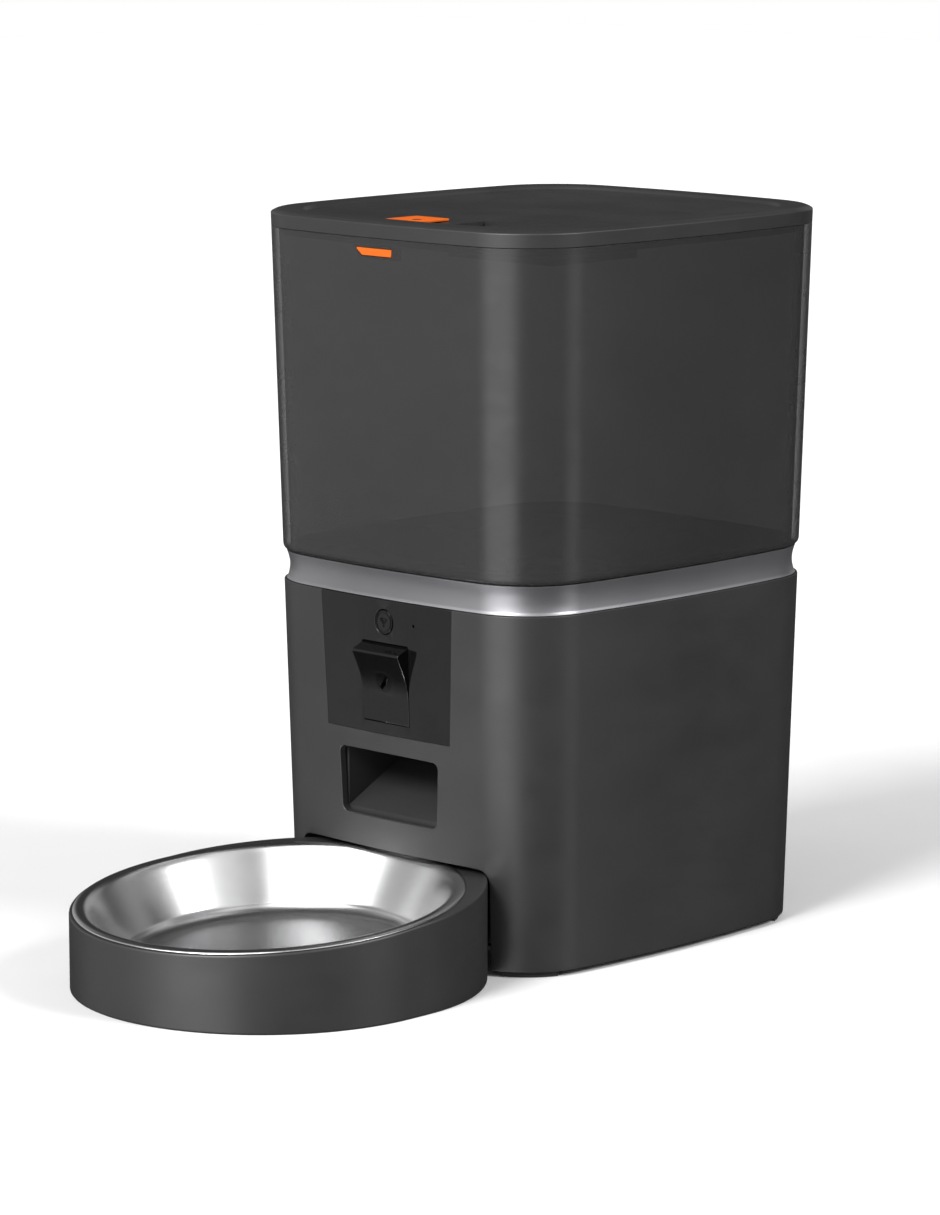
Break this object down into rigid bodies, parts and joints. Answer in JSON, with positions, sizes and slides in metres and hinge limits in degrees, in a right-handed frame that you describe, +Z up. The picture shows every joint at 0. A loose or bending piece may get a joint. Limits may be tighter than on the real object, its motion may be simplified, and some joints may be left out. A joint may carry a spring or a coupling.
{
  "type": "automatic pet feeder",
  "caption": "Tapered rounded-square kibble feeder: base with camera and outlet chute, portion wheel drive, dark lidded tank, round tray with a steel bowl.",
  "frame": {"origin": "on the floor, under the middle of the whole object's bounding box", "axes": "+Z up, +Y from the bowl towards the back of the body, +X to the right seen from the front"},
  "size_m": [0.189, 0.3646, 0.33],
  "materials": {
    "housing_plastic": "fine satin moulded ABS, dark grey",
    "panel_plastic": "gloss black ABS",
    "tank_plastic": "dark tinted translucent plastic",
    "band_plastic": "grey satin metallic plastic",
    "orange_plastic": "satin orange plastic",
    "bowl_steel": "satin stainless steel",
    "inner_plastic": "matt black plastic",
    "white_plastic": "natural acetal and ABS",
    "silicone": "soft grey silicone",
    "rubber": "matt black rubber",
    "circuit_board": "green solder mask",
    "steel_parts": "zinc-plated steel",
    "motor_metal": "motor can and gearbox, mean density near aluminium",
    "brass": "turned brass",
    "battery_sleeve": "plain printed sleeve, mean density near aluminium",
    "lens_glass": "coated dark glass"
  },
  "bodies": {
    "base": {"base_housing": "housing_plastic", "base_plate": "inner_plastic", "foot_front_right": "rubber", "foot_front_left": "rubber", "foot_rear_right": "rubber", "foot_rear_left": "rubber", "base_screw_1": "steel_parts", "base_screw_2": "steel_parts", "base_screw_3": "steel_parts", "base_screw_4": "steel_parts", "deck_screw_1": "steel_parts", "deck_screw_2": "steel_parts", "battery_box": "inner_plastic", "battery_contacts": "steel_parts", "battery_1": "battery_sleeve", "battery_2": "battery_sleeve", "battery_3": "battery_sleeve", "top_deck": "inner_plastic", "waist_band": "band_plastic", "dosing_chamber": "white_plastic", "shaft_bushing": "brass", "drive_frame": "inner_plastic", "gear_motor": "motor_metal", "motor_cable": "rubber", "food_chute": "inner_plastic", "drop_sensor_left": "circuit_board", "drop_sensor_right": "circuit_board", "main_board": "circuit_board", "button_board": "circuit_board", "button_switch": "inner_plastic", "microphone": "steel_parts", "status_light": "white_plastic", "speaker": "inner_plastic", "dc_jack": "inner_plastic", "front_panel": "panel_plastic", "camera_cradle": "inner_plastic", "camera_pin": "steel_parts"},
    "battery_hatch": {"battery_door": "inner_plastic"},
    "rotor": {"portion_wheel": "silicone", "food_stirrer": "inner_plastic", "rotor_shaft": "steel_parts", "driven_gear": "white_plastic"},
    "pinion": {"motor_pinion": "brass"},
    "button": {"wifi_button": "panel_plastic"},
    "camera": {"camera_housing": "panel_plastic", "camera_lens": "lens_glass", "camera_board": "circuit_board"},
    "tank": {"food_tank": "tank_plastic", "tank_floor": "tank_plastic", "tank_catch": "orange_plastic"},
    "lid": {"lid_shell": "housing_plastic", "lid_gasket": "silicone", "latch_spring": "steel_parts", "desiccant_box": "inner_plastic", "desiccant_pack": "white_plastic"},
    "latch": {"latch_slider": "orange_plastic"},
    "vent_cover": {"desiccant_cover": "inner_plastic"},
    "tray": {"feeding_tray": "housing_plastic"},
    "bowl": {"steel_bowl": "bowl_steel"}
  },
  "joints": [
    {"name": "rotor_spin", "type": "hinge", "parent": "base", "child": "rotor", "pos_m": [0, 0.07655, 0.13], "axis": [0, 0, 1], "continuous": true},
    {"name": "pinion_spin", "type": "hinge", "parent": "base", "child": "pinion", "pos_m": [0, 0.10805, 0.1], "axis": [0, 0, 1], "continuous": true},
    {"name": "camera_tilt", "type": "hinge", "parent": "base", "child": "camera", "pos_m": [0, -0.01645, 0.121], "axis": [-1, 0, 0], "range_deg": [0, 15]},
    {"name": "button_press", "type": "slide", "parent": "base", "child": "button", "axis": [0, 1, 0], "range_m": [0, 0.0008], "stiffness_N_per_m": 500, "springref_m": -0.0008},
    {"name": "battery_door_off", "type": "slide", "parent": "base", "child": "battery_hatch", "axis": [0, 0, -1], "range_m": [0, 0.03]},
    {"name": "tray_pull", "type": "slide", "parent": "base", "child": "tray", "axis": [0, -1, 0], "range_m": [0, 0.08]},
    {"name": "bowl_turn", "type": "hinge", "parent": "tray", "child": "bowl", "pos_m": [0, -0.09495, 0.0405], "axis": [0, -0.0732, 0.9973], "continuous": true},
    {"name": "tank_lift", "type": "slide", "parent": "base", "child": "tank", "axis": [0, 0, 1], "range_m": [0, 0.04]},
    {"name": "lid_lift", "type": "slide", "parent": "tank", "child": "lid", "axis": [0, 0, 1], "range_m": [0, 0.04]},
    {"name": "latch_slide", "type": "slide", "parent": "lid", "child": "latch", "axis": [1, 0, 0], "range_m": [0, 0.007], "stiffness_N_per_m": 200, "springref_m": -0.003},
    {"name": "vent_cover_off", "type": "slide", "parent": "lid", "child": "vent_cover", "axis": [0, 0, -1], "range_m": [0, 0.02]}
  ],
  "couplings": [
    {"joint": "pinion_spin", "follows": "rotor_spin", "ratio": -2.5}
  ]
}
